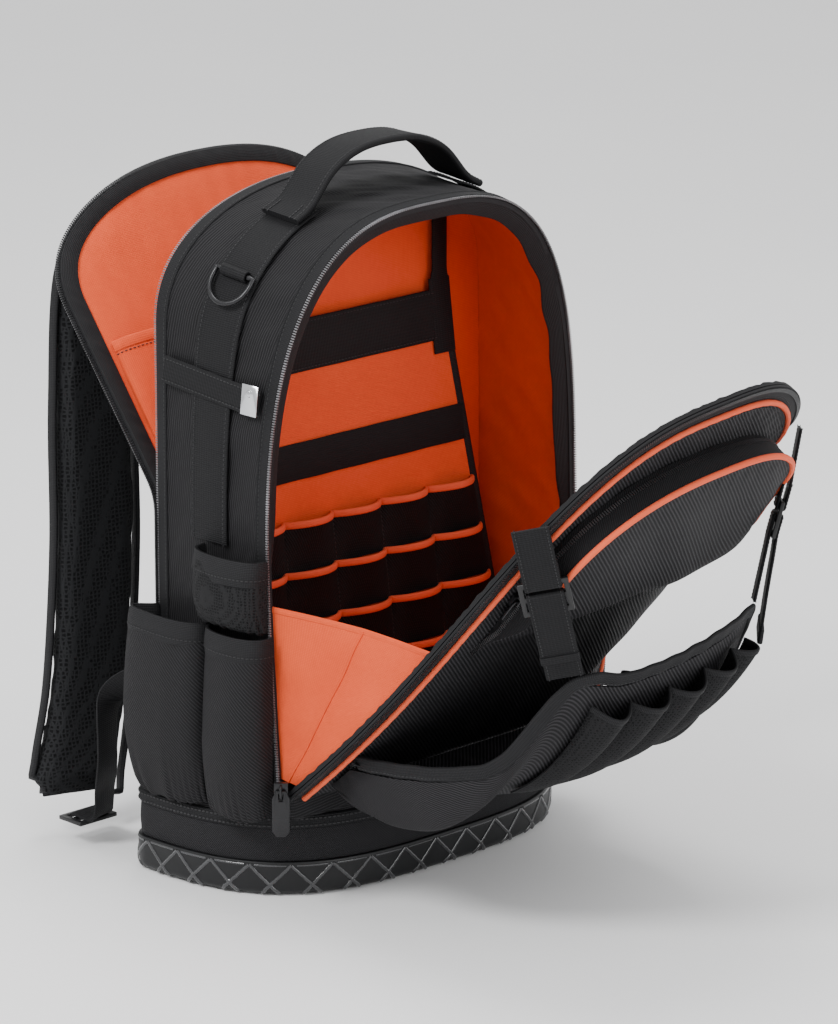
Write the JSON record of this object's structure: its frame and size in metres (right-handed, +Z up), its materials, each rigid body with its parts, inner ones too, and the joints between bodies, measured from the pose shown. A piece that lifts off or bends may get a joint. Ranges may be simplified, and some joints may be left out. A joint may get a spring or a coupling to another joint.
{
  "type": "tool backpack",
  "caption": "Hard-based cloth tool backpack, its front flap and rear panel unzipped, with board, pockets and straps.",
  "frame": {"origin": "middle of the flat underside of the base, on the floor it stands on", "axes": "+Z up, -Y towards the open front flap, +Y towards the wearer, +X to the right seen from the front"},
  "size_m": [0.3684, 0.5538, 0.53],
  "materials": {
    "twill": "coarse black twill",
    "binding": "woven tape",
    "webbing": "ribbed webbing",
    "orange_lining": "plain woven lining",
    "piping": "coral piping",
    "mesh": "padded mesh",
    "rubber": "moulded, satin",
    "plastic": "moulded, satin",
    "dark_steel": "darkened",
    "chrome": "bright plated"
  },
  "bodies": {
    "pack": {"base_tray": "rubber", "base_band": "twill", "base_binding": "binding", "body_foot": "twill", "body_gusset": "twill", "front_zip": "binding", "rear_zip": "binding", "gusset_lining": "orange_lining", "divider": "orange_lining", "flap_panel": "twill", "flap_lining": "orange_lining", "flap_zip": "binding", "flap_piping": "piping", "flap_pouch": "twill", "bellows_pocket": "twill", "bellows_binding": "binding", "tool_slots": "mesh", "tool_board": "orange_lining", "board_band": "webbing", "board_elastic": "webbing", "board_tier_1": "twill", "board_tier_2": "twill", "board_tier_3": "twill", "board_tier_4": "twill", "rear_panel": "twill", "rear_panel_lining": "orange_lining", "laptop_sleeve": "orange_lining", "back_pad": "mesh", "handle": "webbing", "clip_band": "webbing", "tape_clip": "chrome", "tall_pocket_left": "twill", "flap_strap_left": "webbing", "flap_strap_right": "webbing", "strap_buckle_left": "plastic", "strap_buckle_right": "plastic", "pocket_strap_left": "webbing", "pocket_strap_right": "webbing", "stop_gusset_left": "orange_lining", "stop_gusset_right": "orange_lining", "shoulder_strap_left": "mesh", "shoulder_strap_right": "mesh", "strap_lock_left": "plastic", "strap_lock_right": "plastic", "lower_webbing_left": "webbing", "lower_webbing_right": "webbing", "side_webbing_left": "webbing", "side_webbing_right": "webbing", "rear_pocket_left": "twill", "rear_pocket_right": "twill", "front_pocket_left": "twill", "front_pocket_right": "twill", "pouch_slider": "dark_steel", "front_left_slider": "dark_steel", "front_right_slider": "dark_steel"},
    "pouch_pull": {"pouch_pull": "dark_steel"},
    "front_left_pull": {"front_left_pull": "dark_steel"},
    "front_right_pull": {"front_right_pull": "dark_steel"},
    "d_ring_left": {"d_ring_left": "dark_steel"},
    "d_ring_right": {"d_ring_right": "dark_steel"}
  },
  "joints": [
    {"name": "d_ring_left_turn", "type": "hinge", "parent": "pack", "child": "d_ring_left", "pos_m": [-0.13299, -0.00088, 0.44957], "axis": [-0.1312, 0.9797, 0.1517], "range_deg": [0, 150]},
    {"name": "d_ring_right_turn", "type": "hinge", "parent": "pack", "child": "d_ring_right", "pos_m": [0.13299, -0.00088, 0.44957], "axis": [-0.1312, -0.9797, -0.1517], "range_deg": [0, 150]},
    {"name": "front_left_pull_turn", "type": "hinge", "parent": "pack", "child": "front_left_pull", "pos_m": [-0.16258, -0.07623, 0.091], "axis": [-0.7071, 0.7071, 0], "range_deg": [0, 150]},
    {"name": "front_right_pull_turn", "type": "hinge", "parent": "pack", "child": "front_right_pull", "pos_m": [0.16258, -0.07623, 0.091], "axis": [-0.7071, -0.7071, 0], "range_deg": [0, 150]},
    {"name": "pouch_pull_turn", "type": "hinge", "parent": "pack", "child": "pouch_pull", "pos_m": [-0.11895, -0.26739, 0.26341], "axis": [-0.9998, -0.0142, -0.0104], "range_deg": [0, 150]}
  ]
}
